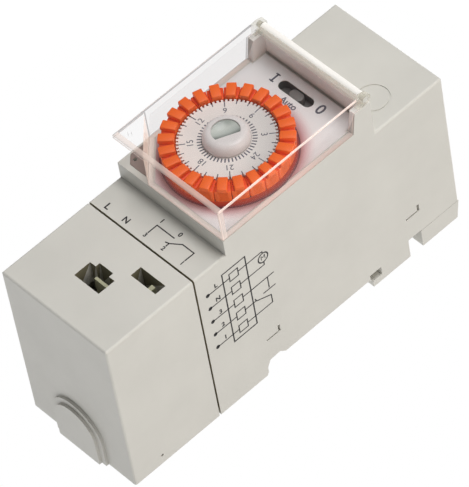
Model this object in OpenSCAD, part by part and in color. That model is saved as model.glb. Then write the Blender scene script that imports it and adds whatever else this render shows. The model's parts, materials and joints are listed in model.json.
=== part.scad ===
// Mechanical time switch for a mounting rail, lying on its back with the dial up.
// x runs along the case from the terminal cap, y across it and z up from the back.
// Places along x are measured from the cap's end face and moved to the centre at the end.

/* [Case] */
// Length of the case without the cable boss
body_l = 108; // [106:0.5:112]
// Width of the case, two rail modules
body_w = 36; // [36:0.5:40]
// Height of the two shoulders above the back
shoulder_h = 51; // [50.5:0.5:54]
// Rise of the deck above the shoulders
deck_step = 5; // [4.6:0.2:6]
// Distance from the cap's end face to the deck
deck_start = 37.8; // [36.8:0.2:39]
// Length of the deck with its hinge wall
deck_l = 48.1; // [47.5:0.1:49.5]
// Thickness of the outer walls
wall = 1.8; // [1.4:0.1:2]
// Thickness of the deck
deck_t = 2.4; // [2.2:0.1:2.8]
// Radius of the long outer edges
edge_r = 0.6; // [0.2:0.1:0.9]
// Length of the terminal cap
cap_l = 27.5; // [26.8:0.1:28.2]
// Gap that shows as a dark seam
seam = 0.5; // [0.2:0.05:0.6]
// Gap between pieces that are fixed together
fit_gap = 0.1; // [0.05:0.01:0.15]
// Radial clearance of a turning shaft
run_gap = 0.05; // [0.02:0.01:0.08]
// Height of the right foot, up to its seam
foot_h = 5.6; // [5.2:0.1:5.8]

/* [Terminal cap] */
// How far the cable boss stands out
boss_outer = 1.6; // [1.2:0.1:2.2]
// How far the rim of the boss stands out
boss_rim = 0.8; // [0.5:0.1:1]
// Radius of the boss's rim
boss_r = 8.6; // [8.2:0.1:9.4]
// Width of the boss's rim
boss_step = 1.6; // [1.2:0.1:2]
// Height of the boss's centre
boss_z = 8; // [7.6:0.1:9]
// Thickness left in the knock-out
knock_t = 0.9; // [0.6:0.1:1.2]
// Corner of the large window, along and across
window_a = [10.7, -4]; // [-20:0.1:20]
// Size of the large window
window_a_size = [5, 8.4]; // [4:0.1:9]
// Size of the large window's side notch
notch_size = [1.3, 4.6]; // [1:0.1:5]
// Depth of the chutes below the windows
chute_h = 5; // [3:0.5:6]
// Corner of the small window, along and across
window_b = [19.3, -14]; // [-20:0.1:22]
// Size of the small window
window_b_size = [3.2, 8.4]; // [3:0.1:9]

/* [Terminals] */
// Number of terminals
terminal_count = 5; // [5]
// Thickness of the ribs between terminals
rib_t = 1.2; // [1:0.1:1.4]
// Height of the terminal block's floor
block_floor = 10.4; // [9.5:0.1:11]
// Height of the terminal block
block_h = 24; // [23:0.5:26]
// Distance from the end face to the clamp screws
clamp_x = 15; // [14.5:0.1:16]
// Length of a wire clamp
clamp_l = 6; // [5:0.1:7]
// Height of a wire clamp
clamp_h = 8; // [7:0.1:8.5]
// Gap between a wire clamp and its ribs
clamp_gap = 0.3; // [0.2:0.05:0.5]
// Radius of a terminal screw's head
terminal_head_r = 1.9; // [1.7:0.05:2]
// Thickness of the busbars
bus_t = 0.8; // [0.6:0.1:1]
// Gap between a busbar and the inside of its clamp
bus_gap = 0.3; // [0.2:0.05:0.5]

/* [Rail] */
// Width of the mounting rail
rail_w = 35; // [35]
// Thickness of the rail's flange
rail_t = 1; // [1:0.1:1.5]
// Distance from the end face to the rail's left edge
rail_x = 46.4; // [46:0.1:47]
// Height of the face that the rail lies on
seat_h = 3.3; // [3.2:0.1:4]
// Depth of the flange's pocket above that face
tilt_room = 1.5; // [1.2:0.1:1.8]
// Gap between hook and flange
hook_gap = 0.2; // [0.1:0.05:0.4]
// Height of the base's plate
base_h = 6; // [5.9:0.1:6.6]
// Width of the groove beside the hook
groove_w = 4.3; // [3.6:0.1:5]
// How far the groove lies from the middle between rail and end
groove_shift = 1.55; // [0.5:0.05:2.5]
// Width of the rail clip
clip_w = 13.8; // [12:0.2:15]
// Thickness of the rail clip
clip_t = 2.5; // [2.3:0.1:2.6]
// Travel of the rail clip
clip_travel = 3; // [2.6:0.1:3]
// Radius of the clip's spring
spring_r = 0.8; // [0.6:0.05:0.85]

/* [Cover] */
// Height of the clear cover above the deck
cover_h = 10.1; // [9.6:0.1:12]
// Thickness of the clear cover
cover_t = 1.3; // [1:0.1:1.4]
// Distance from the hinge axis to the cover's edge
cover_end = 1.2; // [1.2:0.05:1.6]
// Length of the cover's ears
ear_l = 3.3; // [3:0.1:3.6]
// Slant of the cover's sides at the hinge end
cover_slant = 2; // [1:0.1:2.4]
// Gap between the cover's sides and the cheeks beside the hinge
cheek_gap = 0.3; // [0.2:0.05:0.4]
// Height of the hinge axis above the deck
hinge_h = 8.2; // [7.8:0.1:8.6]
// Thickness of the hinge wall
hinge_wall_t = 1.5; // [1.4:0.1:1.8]
// Radius of the barrel on the hinge wall
hinge_barrel_r = 1.15; // [1.1:0.05:1.2]
// Radius of the hinge pin
hinge_pin_r = 0.8; // [0.6:0.05:0.9]
// Radius of the cover's ears
ear_r = 1.6; // [1.4:0.05:1.8]
// Length of the finger notch under the cover's corner, along and across
finger_notch = [10, 10.4]; // [8:0.1:11]
// Place of the seal hole from the cover's corner, along and across
seal_in = [3.2, 2.6]; // [2.4:0.1:3.4]
// Width and depth of the groove at the foot of the hinge wall
foot_groove = [0.7, 0.8]; // [0.5:0.1:1]
// Gap under the clear cover
cover_gap = 0.1; // [0.05:0.05:0.2]

/* [Dial] */
// Distance from the deck's edge to the dial's axis
dial_from_deck = 19.2; // [18.9:0.1:19.6]
// Turn of the dial at rest, in degrees
dial_angle = 5; // [0:1:10]
// Width of the tappet ring around the hour disc
tappet_band = 4.2; // [4:0.1:4.4]
// Thickness of the hour disc
disc_t = 1; // [0.8:0.1:1.2]
// Height of the hour disc's face above the deck
disc_face = 5.2; // [5.1:0.1:5.6]
// Number of notches in the disc's edge
notch_count = 72; // [24:24:96]
// Depth and width of these notches
edge_notch = [0.6, 0.5]; // [0.3:0.1:0.7]
// Number of tappets
tappet_count = 24; // [24]
// Gap between the tappets and the clear cover
tappet_room = 0.5; // [0.4:0.1:0.8]
// Width of a tappet's ridge
ridge_w = 2.4; // [1.7:0.1:2.4]
// Height of a tappet's ridge over its base
ridge_rise = 1.2; // [1.2:0.1:1.6]
// Height of the tappets above the disc's face
tappet_rise = 1.2; // [1:0.1:1.4]
// Travel of a tappet
tappet_travel = 1.2; // [1:0.1:1.2]
// Gap between neighbouring tappets
tappet_gap = 0.16; // [0.12:0.02:0.3]
// Radius of the knob's skirt
knob_r = 5.8; // [5.8:0.1:6.6]
// Radius of the knob's flat top
knob_top_r = 3.9; // [3.8:0.1:4.4]
// Gap between the knob and the clear cover
knob_gap = 0.5; // [0.3:0.1:0.8]
// Radius of the finger dish in the knob
insert_r = 3.5; // [3.2:0.1:3.7]
// Depth of the finger dish
dish_depth = 1.4; // [1:0.1:1.5]
// Distance from the knob's axis to the dish's straight side
dish_side = 1.7; // [1:0.1:2.2]
// Turn of the dish at rest, in degrees
dish_angle = -25; // [-90:5:90]

/* [Movement] */
// Module of the minute pinion and transfer wheel
fast_module = 0.3; // [0.3]
// Module of the transfer pinion and dial wheel
slow_module = 0.35; // [0.35]
// Teeth of the minute pinion
minute_teeth = 10; // [10]
// Teeth of the transfer wheel
transfer_teeth = 60; // [60]
// Teeth of the transfer pinion
slow_teeth = 12; // [12]
// Teeth of the dial wheel
dial_teeth = 48; // [48]
// Thickness of the wheels
wheel_t = 1.4; // [1.2:0.1:1.6]
// Thickness of the movement plates
plate_t = 1.2; // [1:0.1:1.4]
// Radius of the minute arbor
arbor_r = 1.1; // [0.9:0.05:1.15]
// Radius of the transfer arbor
transfer_r = 0.8; // [0.6:0.05:1]
// Radius of the plate pillars
pillar_r = 1.8; // [1.6:0.1:2]
// Gap between the motor and the side walls
motor_room = 3.2; // [3:0.1:3.8]
// Height of the motor with its cover
motor_h = 15; // [14:0.5:16]
// Length, width and height of the switch case
switch_size = [20, 6.4, 10]; // [6:0.1:20]
// Radius of the switch plunger
plunger_r = 1.2; // [1:0.05:1.3]
// Thickness of the switch lever
lever_t = 1.4; // [1.2:0.1:1.6]
// Gap between the lever and the deck's end wall
lever_room = 1.25; // [1:0.05:1.5]
// Radius of the lever's pin
lever_pin_r = 0.75; // [0.6:0.05:0.9]

/* [Override slider] */
// Length of the slider's slot
slot_l = 10.9; // [10.4:0.1:11.4]
// Width of the slider's slot
slot_w = 2.9; // [2.6:0.1:3.2]
// Distance from the slot to the hinge wall
slot_from_wall = 4.8; // [4.6:0.1:5]
// Sideways place of the slot's middle
slot_y = 1.2; // [0.8:0.1:1.6]
// Length of the slider's knob
slider_l = 4.2; // [3.8:0.1:4.6]
// Travel of the slider to each side
slider_travel = 3; // [2.6:0.1:3]

/* [Screws] */
// Radius of the screw shanks
screw_r = 0.9; // [0.8:0.05:1]
// Radius of the screw heads
screw_head_r = 1.7; // [1.6:0.05:1.8]
// Height of the screw heads
screw_head_h = 1.1; // [0.9:0.1:1.2]
// Radius of the housing's screw pillars
post_r = 2.8; // [2.6:0.1:3]

/* [Hidden] */
$fn = 64;
eps = 0.01;
overrun = 2;
x_left = -(body_l - boss_outer) / 2;

// Case
half_w = body_w / 2;
in_y = half_w - wall;
case_x = cap_l + seam / 2;
deck_h = shoulder_h + deck_step;
deck_end = deck_start + deck_l;
deck_under = deck_h - deck_t;
shoulder_under = shoulder_h - wall;
floor_t = 2;
latch_slit = [4.5, 0.5];
latch_slot = [0.7, 2.3];
latch_places = [[44.7, 11.7], [91.2, 13.3]];
mark_r = 4.3;
mark_line = 0.5;
mark_depth = 0.2;
mark_from_deck = 7.2;
mark_y = -10;
cap_dot = [9.1, 2.8];
cap_dot_r = 0.4;

// Rail
rail_end = rail_x + rail_w;
groove_x = (rail_end + body_l) / 2 - groove_shift;
groove = [groove_x - groove_w / 2, groove_x + groove_w / 2];
hook_top = seat_h - rail_t - hook_gap;
pocket_top = seat_h + tilt_room;
clip_end = rail_x + 1.8;
pocket_start = case_x + 0.6;
clip_start = pocket_start + clip_travel + 0.2;
clip_z = 0.6;
clip_nose = 4.6;
clip_nose_top = hook_top;
clip_side = 1.9;
clip_tail = 7.2;
clip_shoulder = clip_end - clip_tail;
clip_slot = [3, 5];
lip_w = 1.6;
spring_z = clip_z + clip_t / 2;
spring_bore = spring_r + run_gap;
spring_wire = 0.3;
spring_seat = 0.3;
spring_in = 8.3;
spring_end = clip_start + spring_in;

// Hinge and cover
hinge_x = deck_end - hinge_barrel_r;
hinge_z = deck_h + hinge_h;
hinge_wall_y = half_w - cover_t - 0.3;
cover_x = deck_start + 0.1;
cover_x_end = hinge_x - cover_end;
cover_z = deck_h + cover_gap;
cover_top = deck_h + cover_h;
cover_under = cover_top - cover_t;
ear_low = hinge_z - ear_r;
cheek_top = ear_low - cheek_gap;
seal_r = 0.5;
seal_x = cover_x + seal_in[0];
seal_y = half_w - seal_in[1];

// Dial
dial_x = deck_start + dial_from_deck;
pitch = 360 / tappet_count;
tappet_r = min(half_w, dial_x - cover_x) - cover_t - tappet_room;
disc_r = tappet_r - tappet_band;
disc_z = deck_h + disc_face;
tappet_top = disc_z + tappet_rise;
carrier_top = disc_z - disc_t;
slide_gap = 0.3;
block_in = disc_r + slide_gap;
skirt_t = 1.5;
ridge_over = 0.3;
skirt_out = tappet_r - ridge_over;
skirt_in = skirt_out - skirt_t;
skirt_z = deck_h + tappet_travel + 0.4;
valley_z = tappet_top - ridge_rise;
base_t = 0.8;
block_z = valley_z - base_t;
plate_r = skirt_in - slide_gap;
plate_top = block_z - tappet_travel - 0.2;
carrier_plate_t = 1.2;
plate_z = plate_top - carrier_plate_t;
stem_in = block_in + 0.4;
stem_size = [1.2, 1.2];
stem_z = deck_h + 0.3;
toe_t = 0.7;
toe_in = stem_in - 0.5;
track_z = stem_z - tappet_travel - 0.5;
track_in = toe_in - 0.4;
track_out = stem_in + stem_size[0] + 0.6;
sleeve_r = 4.2;
collar_r = 5;
deck_hole_r = collar_r + 0.6;
knob_z = disc_z + 0.3;
knob_h = cover_under - knob_gap - knob_z;
knob_edge = 0.5;
insert_z = knob_z + knob_h - dish_depth;
insert_t = 0.35;
bowl_r = 8.5;
knob_floor = 0.6;
arbor_top = insert_z - knob_floor;

// Movement, counted down from the deck
centre_distance = fast_module * (minute_teeth + transfer_teeth) / 2;
transfer_x = dial_x - centre_distance;
plate_boss = 0.8;
upper_top = deck_under - plate_boss;
upper_z = upper_top - plate_t;
dial_wheel_z = upper_z - 0.6 - wheel_t;
sleeve_z = dial_wheel_z - 0.4;
transfer_wheel_z = sleeve_z - 1.2 - wheel_t;
lower_top = transfer_wheel_z - 1.6;
lower_z = lower_top - plate_t;
motor_z = lower_z - motor_h;
motor_r = in_y - motor_room;
plate_y = in_y - 0.6;
plate_over = [5.5, 11];
upper_x = [transfer_x - plate_over[0], dial_x + plate_over[1]];
pillar_over = [3, 9];
pillar_x = [transfer_x - pillar_over[0], dial_x + pillar_over[1]];
pillar_from_wall = 3;
pillar_y = in_y - pillar_from_wall;
pillar_thread = 3;
tooth_spare = 0.3;
motor_cover_t = 1;
motor_wall = 0.8;
coil_r = motor_r - motor_wall - fit_gap;
coil_in = 7;
rotor_r = 6.4;
ear_y = motor_r + 1.2;
motor_ear_r = 2;
motor_angle = 30;

// Switch and lever
nose_r = stem_in + stem_size[0] / 2;
nose_x = dial_x + nose_r * cos(dial_angle);
nose_y = nose_r * sin(dial_angle);
nose_l = 1;
nose_top = stem_z - 0.7;
nose_room = 1.1;
lever_z = lower_top + 1.4;
lever_h = 3.2;
pivot_x = deck_end - wall - lever_h / 2 - lever_room;
pivot_z = lever_z + lever_h / 2;
lever_bracket_t = 1;
switch_x = dial_x + motor_r + 1.2;
plunger_in = 2.05;
plunger_x = switch_x + plunger_in;
plunger_top = lever_z - 0.3;
plunger_l = 5.1;
switch_z = lower_z - switch_size[2];
plunger_room = 1;
lower_x = [upper_x[0], switch_x + switch_size[0]];
tab_in = 3;
switch_tabs = [for (k = [0:2]) switch_x + tab_in + k * (switch_size[0] - 2 * tab_in) / 2];

// Override slider
slot_x = deck_end - hinge_wall_t - slot_from_wall;
slide_plate_t = 1.1;
slide_plate_w = slot_w + 4.4;
slide_plate_l = slot_l + 2 * slider_travel + 2;
slide_z = deck_under - fit_gap - slide_plate_t;
guide_t = 1;
guide_lip = 0.8;
knob_rise = 0.4;
finger_w = 2;
finger_y = 5;

// Terminals
block_y = in_y - 2 * fit_gap;
terminal_pitch = 2 * block_y / terminal_count;
terminal_ys = [for (k = [0:terminal_count - 1]) (k - (terminal_count - 1) / 2) * terminal_pitch];
block_x = 8;
block_end = cap_l - fit_gap;
bridge_t = 2;
bridge_x = 10;
back_t = 1.5;
clamp_wall = 1;
clamp_size = [clamp_l, terminal_pitch - rib_t - 2 * clamp_gap, clamp_h];
bus_w = clamp_size[1] - clamp_wall - 2 * bus_gap;
bus_z = block_floor + clamp_size[2] - 2.4;
bus_x = clamp_x - clamp_size[0] / 2 - 1;
head_h = 2;
driver_slot = 0.5;
chute_t = 0.9;
tongue_a = [0.8, 4.6];
tongue_behind = 1.4;
tongue_b = [1.6, 1.2];
tongue_gap = 0.2;
motor_bus_x = [dial_x - 4, dial_x + 4];
motor_bus_y = terminal_ys[3];

// Case screws
post_from_cap = 5;
post_x = [cap_l + post_from_cap, (groove[1] + body_l) / 2];
post_y = in_y - post_r - 0.4;
case_head_r = 2.2;
case_head_h = 1.6;
post_room = 2;
case_screw_l = bus_z - post_room;
head_depth = 2.4;
post_top = case_screw_l + post_room / 2;
web_t = 2.4;

tappet_names = [for (i = [1:tappet_count]) str("tappet_", i < 10 ? "0" : "", i)];

// Moves what is drawn from the cap's end face to the middle of the case
module centred() translate([x_left, 0, 0]) children();

// A box between two corners
module block(low, high) translate(low) cube(high - low);

// A box that is the same on both sides of y = 0
module middle_block(x, y, z) block([x[0], -y, z[0]], [x[1], y, z[1]]);

// A shape drawn in x and z, run across the case
module across(width, y = 0)
  translate([0, y + width / 2, 0]) rotate([90, 0, 0]) linear_extrude(width) children();

// A shape drawn in y and z, run along the case
module along(x, length) translate([x, 0, 0]) rotate([90, 0, 90]) linear_extrude(length) children();

// A pin across the case
module cross_pin(x, z, r, y0, y1)
  translate([x, y0, z]) rotate([-90, 0, 0]) cylinder(r = r, h = y1 - y0);

// A pin along the case
module long_pin(x, y, z, r, length) translate([x, y, z]) rotate([0, 90, 0]) cylinder(r = r, h = length);

// An upright pin
module post(x, y, z0, z1, r) translate([x, y, z0]) cylinder(r = r, h = z1 - z0);

// What is cut away to round the corner of a square whose tip is at the origin
module corner_waste(r) difference() {
  translate([-eps, -eps]) square(r + eps);
  translate([r, r]) circle(r);
}

// Rounds the two long upper edges of a stretch of the case
module rounded_sides(x0, x1, top) for (s = [-1, 1])
  along(x0, x1 - x0) translate([s * half_w, top]) scale_flip(-s, -1) corner_waste(edge_r);

// Rounds the two long edges and the end edges of a box-shaped end of the case
module rounded_end(x0, x1, top, outward) {
  tip = outward > 0 ? x1 : x0;
  rounded_sides(x0, x1, top);
  for (s = [-1, 1]) translate([tip, s * half_w, 0]) linear_extrude(top)
    scale_flip(-outward, -s) corner_waste(edge_r);
  across(body_w) translate([tip, top]) scale_flip(-outward, -1) corner_waste(edge_r);
}

// Mirrors a drawing so that it points along the given signs
module scale_flip(sx, sy) mirror([sx < 0 ? 1 : 0, 0]) mirror([0, sy < 0 ? 1 : 0]) children();

// Lower edge of the case from the cap to the hook, as points in x and z
function rail_edge(x0) = [
  [x0, 0], [rail_x - 3.4, 0], [rail_x - 2.8, 0.8], [rail_x - 2.8, 2.6], [rail_x - 1.7, pocket_top - 0.2],
  [rail_x + 1.5, pocket_top], [rail_x + 3.2, seat_h], [rail_end - 3.5, seat_h],
  [rail_end - 3.5, pocket_top], [rail_end + hook_gap, pocket_top], [rail_end + hook_gap, hook_top],
  [rail_end - 2.8, hook_top], [rail_end - 2.8, 0], [groove[0], 0]
];

// Side view of the housing
module housing_side() polygon(concat(rail_edge(case_x), [
  [groove[0], base_h], [groove[1], base_h], [groove[1], foot_h + fit_gap], [body_l, foot_h + fit_gap],
  [body_l, shoulder_h], [deck_end, shoulder_h], [deck_end, deck_h], [deck_start, deck_h],
  [deck_start, shoulder_h], [case_x, shoulder_h]
]));

// Side view of the housing's inside
module housing_inside() polygon([
  [case_x + wall, -1], [case_x + wall, shoulder_under], [deck_start + wall, shoulder_under],
  [deck_start + wall, deck_under], [deck_end - wall, deck_under], [deck_end - wall, shoulder_under],
  [body_l - wall, shoulder_under], [body_l - wall, -1]
]);

// Place along the case of the slanted end of the cover's sides
function slant_x(z) = hinge_x - ear_l - cover_slant * (cover_top - z) / cover_h;

// Wall that carries the hinge pin, with cheeks that close the sides below the cover's ears
module hinge_wall() {
  middle_block([deck_end - hinge_wall_t, deck_end], hinge_wall_y, [deck_h - eps, hinge_z]);
  cross_pin(hinge_x, hinge_z, hinge_barrel_r, -hinge_wall_y, hinge_wall_y);
  for (s = [-1, 1]) across(wall, s * (half_w - wall / 2)) polygon([
    [slant_x(deck_h) + cheek_gap, deck_h - eps], [deck_end, deck_h - eps],
    [deck_end, cheek_top], [slant_x(cheek_top) + cheek_gap, cheek_top]
  ]);
}

// Slots of the two side latches
module latch_slots() for (p = latch_places, s = [-1, 1]) {
  translate([p[0], s * half_w, p[1]]) {
    translate([0, -wall / 2, 0]) cube([latch_slit[0], wall, latch_slit[1]]);
    translate([latch_slit[0] - latch_slot[0], -wall / 2, 0]) cube([latch_slot[0], wall, latch_slot[1]]);
  }
}

// Long hole with round ends across the case
module long_hole(x, y, w, l, z0, z1) translate([x, y, z0]) linear_extrude(z1 - z0) {
  square([w, l - w], center = true);
  for (s = [-1, 1]) translate([0, s * (l - w) / 2]) circle(w / 2);
}

// Rails under the deck that carry the override slider
module slider_guides() for (s = [-1, 1]) {
  x = slot_x + s * (slide_plate_w / 2 + fit_gap);
  y = slide_plate_l / 2;
  low = slide_z - fit_gap - guide_t;
  block([min(x, x + s * guide_t), slot_y - y, low], [max(x, x + s * guide_t), slot_y + y, deck_under + eps]);
  block([min(x + s * guide_t, x - s * guide_lip), slot_y - y, low],
        [max(x + s * guide_t, x - s * guide_lip), slot_y + y, low + guide_t]);
}

// Pillar for a case screw, on a web from the side wall
module screw_post(x, s) {
  post(x, s * post_y, base_h + fit_gap, post_top, post_r);
  block([x - web_t / 2, min(s * post_y, s * (in_y + eps)), base_h + fit_gap + web_t],
        [x + web_t / 2, max(s * post_y, s * (in_y + eps)), post_top]);
}

module housing() centred() color("gainsboro") difference() {
  union() {
    difference() {
      across(body_w) housing_side();
      across(2 * in_y) housing_inside();
    }
    hinge_wall();
    slider_guides();
    for (x = pillar_x, s = [-1, 1]) post(x, s * pillar_y, upper_top, deck_under + eps, pillar_r + 0.6);
    for (x = post_x, s = [-1, 1]) screw_post(x, s);
  }
  rounded_end(deck_end, body_l, shoulder_h, 1);
  rounded_sides(case_x, deck_start, shoulder_h);
  middle_block([case_x - 1, case_x + wall + 1], in_y, [-1, base_h + fit_gap]);
  cross_pin(hinge_x, hinge_z, hinge_pin_r + fit_gap / 5, -half_w, half_w);
  post(dial_x, 0, deck_under - 1, deck_h + 1, deck_hole_r);
  difference() {
    post(dial_x, 0, track_z, deck_h + 1, track_out);
    post(dial_x, 0, track_z - 1, deck_h + 2, track_in);
  }
  block([nose_x - nose_l / 2 - nose_room, nose_y - lever_t / 2 - 0.4, deck_under - 1],
        [nose_x + nose_l / 2 + nose_room, nose_y + lever_t / 2 + 0.4, deck_h]);
  long_hole(slot_x, slot_y, slot_w, slot_l, deck_under - 1, deck_h + 1);
  for (x = pillar_x, s = [-1, 1]) post(x, s * pillar_y, upper_top - 1, deck_h - 0.8, screw_r + fit_gap / 5);
  for (x = post_x, s = [-1, 1]) post(x, s * post_y, 0, case_screw_l + fit_gap, screw_r + fit_gap / 5);
  for (y = terminal_ys) block([case_x - 1, y - bus_w / 2 - fit_gap, bus_z - fit_gap],
                              [case_x + wall + 1, y + bus_w / 2 + fit_gap, bus_z + bus_t + fit_gap]);
  latch_slots();
  post(seal_x, seal_y, deck_under - 1, deck_h + 1, seal_r);
  middle_block([deck_end - hinge_wall_t - foot_groove[0], deck_end - hinge_wall_t], in_y - cheek_gap,
               [deck_h - foot_groove[1], deck_h + 1]);
  translate([deck_end + mark_from_deck, mark_y, shoulder_h - mark_depth]) difference() {
    cylinder(r = mark_r, h = 1);
    translate([0, 0, -1]) cylinder(r = mark_r - mark_line, h = 3);
  }
}

// Pocket in the base that the rail clip slides in
module clip_pocket() {
  z = [clip_z - fit_gap, clip_z + clip_t + fit_gap];
  middle_block([pocket_start, clip_shoulder + fit_gap], clip_w / 2 + fit_gap, z);
  middle_block([pocket_start, clip_end + 2], clip_w / 2 - clip_side + fit_gap, z);
  middle_block([clip_start + 0.6, clip_end + 2], clip_w / 2 - lip_w, [-1, z[1]]);
  long_pin(pocket_start - spring_seat - fit_gap, 0, spring_z, spring_bore, spring_seat + fit_gap + eps);
}

module base() centred() color("gainsboro") difference() {
  union() {
    intersection() {
      across(2 * (in_y - fit_gap))
        polygon(concat(rail_edge(case_x), [[groove[0], base_h], [case_x, base_h]]));
      middle_block([0, body_l], half_w, [-1, base_h]);
    }
    middle_block([wall + fit_gap, case_x + 1], in_y - fit_gap, [0, floor_t]);
    middle_block([groove[1], body_l - wall - fit_gap], in_y - fit_gap, [foot_h - eps, base_h + floor_t]);
    middle_block([groove[0] - wall, groove[1] + wall], in_y - fit_gap, [base_h - eps, base_h + floor_t]);
    across(body_w) polygon([[groove[1], 0], [body_l - 1, 0], [body_l, foot_h], [groove[1], foot_h]]);
  }
  clip_pocket();
  for (x = post_x, s = [-1, 1]) {
    post(x, s * post_y, -1, base_h + 3, screw_r + fit_gap);
    post(x, s * post_y, -1, head_depth, case_head_r + fit_gap);
    post(x, s * post_y, base_h, base_h + 3, post_r + fit_gap);
  }
}

// Arch of the cable boss
module boss_arch(r) intersection() {
  union() {
    translate([0, boss_z]) circle(r);
    translate([-r, 0]) square([2 * r, boss_z]);
  }
  translate([-r, 0]) square([2 * r, boss_z + r]);
}

// The cap's windows, grown by a wall
module window_bores(grow, low, high) {
  block([window_a[0] - grow, window_a[1] - grow, low],
        [window_a[0] + window_a_size[0] + grow, window_a[1] + window_a_size[1] + grow, high]);
  block([window_a[0] - grow, window_a[1] + window_a_size[1] / 2 - notch_size[1] / 2 - grow, low],
        [window_a[0] + window_a_size[0] + notch_size[0] + grow,
         window_a[1] + window_a_size[1] / 2 + notch_size[1] / 2 + grow, high]);
  block([window_b[0] - grow, window_b[1] - grow, low],
        [window_b[0] + window_b_size[0] + grow, window_b[1] + window_b_size[1] + grow, high]);
}
module terminal_cap() centred() color("gainsboro") difference() {
  union() {
    difference() {
      middle_block([0, cap_l - seam / 2], half_w, [0, shoulder_h]);
      middle_block([wall, cap_l + 1], in_y, [-1, shoulder_under]);
      rounded_end(0, cap_l, shoulder_h, -1);
    }
    window_bores(chute_t, shoulder_under - chute_h, shoulder_under + eps);
    along(-boss_rim, boss_rim + eps) boss_arch(boss_r);
    along(-boss_outer, boss_outer + eps) boss_arch(boss_r - boss_step);
  }
  along(knock_t - boss_outer, boss_outer + wall) boss_arch(boss_r - boss_step - knock_t);
  window_bores(0, shoulder_under - chute_h - 1, shoulder_h + 1);
  for (s = [-1, 1]) cross_pin(cap_dot[0], cap_dot[1], cap_dot_r, s * half_w - wall, s * half_w + wall);
}

module terminal_block() centred() color("whitesmoke") difference() {
  union() {
    middle_block([block_x, block_end], block_y, [floor_t, block_floor]);
    for (k = [0:terminal_count]) {
      y = (k - terminal_count / 2) * terminal_pitch;
      low = max(y - rib_t / 2, -block_y);
      block([block_x, low, block_floor - eps], [block_end, min(y + rib_t / 2, block_y), block_h]);
    }
    middle_block([bridge_x, block_end], block_y, [block_h - bridge_t, block_h]);
    middle_block([block_end - back_t, block_end], block_y, [block_floor - eps, block_h]);
    tongue(window_a[0] + window_a_size[0] - tongue_a[0] - tongue_behind, window_a[1] + tongue_gap, tongue_a);
    tongue(window_b[0] + tongue_gap, window_b[1] + window_b_size[1] / 4, tongue_b);
  }
  for (y = terminal_ys) {
    post(clamp_x, y, block_h - bridge_t - 1, block_h + 1, terminal_head_r + 0.3);
    block([block_end - back_t - 1, y - bus_w / 2 - fit_gap, bus_z - fit_gap],
          [block_end + 1, y + bus_w / 2 + fit_gap, bus_z + bus_t + fit_gap]);
  }
}

// Latch tongue that stands up into a window of the cap
module tongue(x, y, size) block([x, y, block_h - eps], [x + size[0], y + size[1], shoulder_h - 1]);

module wire_clamps() centred() color("silver") for (y = terminal_ys) difference() {
  block([clamp_x - clamp_size[0] / 2, y - clamp_size[1] / 2, block_floor],
        [clamp_x + clamp_size[0] / 2, y + clamp_size[1] / 2, block_floor + clamp_size[2]]);
  block([clamp_x - clamp_size[0], y - clamp_size[1] / 2 + clamp_wall / 2, block_floor + clamp_wall],
        [clamp_x + clamp_size[0], y + clamp_size[1] / 2 - clamp_wall / 2,
         block_floor + clamp_size[2] - clamp_wall]);
  post(clamp_x, y, block_floor + clamp_wall, block_floor + clamp_size[2] + 1, screw_r + fit_gap / 5);
}

module terminal_screws() centred() color("silver") for (y = terminal_ys) difference() {
  top = block_floor + clamp_size[2];
  union() {
    post(clamp_x, y, bus_z + bus_t + fit_gap, top + 1, screw_r);
    post(clamp_x, y, top + fit_gap, top + head_h, terminal_head_r);
  }
  block([clamp_x - terminal_head_r - 1, y - driver_slot / 2, top + head_h / 2],
        [clamp_x + terminal_head_r + 1, y + driver_slot / 2, top + head_h + 1]);
}

// Busbar from a terminal along the case, across it and up
module busbar(y0, x1, y1, top) {
  low = min(y0, y1) - bus_w / 2;
  translate([0, 0, bus_z]) linear_extrude(bus_t) union() {
    translate([bus_x, y0 - bus_w / 2]) square([x1 - bus_x, bus_w]);
    translate([x1 - bus_w / 2, low]) square([bus_w, abs(y1 - y0) + bus_w]);
  }
  block([x1 - bus_t / 2, y1 - bus_w / 2 + fit_gap, bus_z + bus_t / 2],
        [x1 + bus_t / 2, y1 + bus_w / 2 - fit_gap, top]);
}

module switch_busbars() centred() color("goldenrod")
  for (k = [0:2]) busbar(terminal_ys[2 - k], switch_tabs[k], nose_y, switch_z);

module motor_busbars() centred() color("goldenrod")
  for (k = [0:1]) busbar(terminal_ys[3 + k], motor_bus_x[k], motor_bus_y, motor_z);

module upper_plate() centred() color("khaki") difference() {
  middle_block(upper_x, plate_y, [upper_z, upper_top]);
  post(dial_x, 0, upper_z - 1, upper_top + 1, sleeve_r + run_gap);
  post(transfer_x, 0, upper_z - 1, upper_top + 1, transfer_r + run_gap);
  for (x = pillar_x, s = [-1, 1]) post(x, s * pillar_y, upper_z - 1, upper_top + 1, screw_r + fit_gap / 5);
}

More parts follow.
